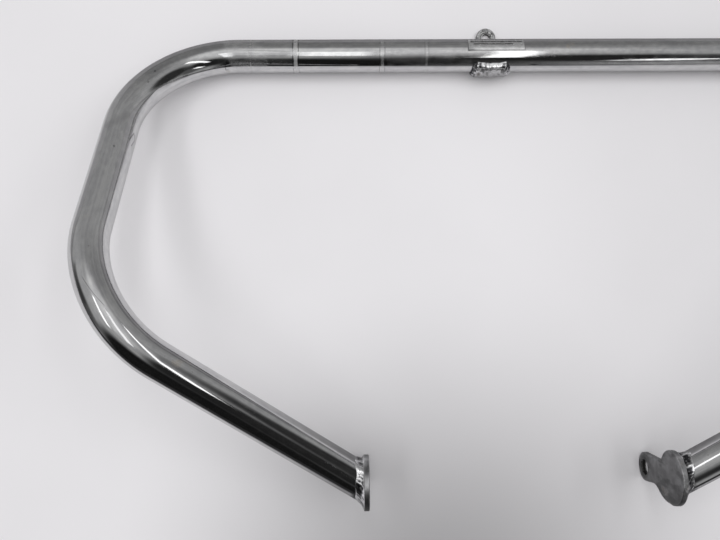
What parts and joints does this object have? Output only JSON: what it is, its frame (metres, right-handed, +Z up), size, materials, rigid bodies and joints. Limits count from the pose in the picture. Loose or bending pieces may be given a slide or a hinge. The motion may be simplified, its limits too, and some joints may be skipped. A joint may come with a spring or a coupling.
{
  "type": "motorcycle crash bar",
  "caption": "Bent steel tube guard for a motorcycle frame, with eared end plates welded to the tube's ends and a saddle bracket at the middle of the top run.",
  "frame": {"origin": "middle of the guard's box, on the table that it lies on: X halfway between the two end plates, Y halfway between the plates' discs and the bracket's lug, Z at the table", "axes": "+X runs along the straight top run, +Y points from the end plates to the top run, +Z points up from the table towards the knees of the side legs"},
  "size_m": [0.75, 0.4638, 0.1699],
  "materials": {
    "tube_chrome": "mirror chrome, lightly worn and hazed",
    "plate_steel": "dull plated steel with stains",
    "bracket_steel": "dull plated steel",
    "weld_steel": "lumpy plated weld bead",
    "decal_foil": "satin foil, blank"
  },
  "bodies": {
    "root": {"guard_tube": "tube_chrome", "left_end_plate": "plate_steel", "right_end_plate": "plate_steel", "left_plate_weld": "weld_steel", "right_plate_weld": "weld_steel", "centre_bracket": "bracket_steel", "bracket_front_weld": "weld_steel", "bracket_left_weld": "weld_steel", "bracket_right_weld": "weld_steel", "blank_decal": "decal_foil"}
  },
  "joints": []
}
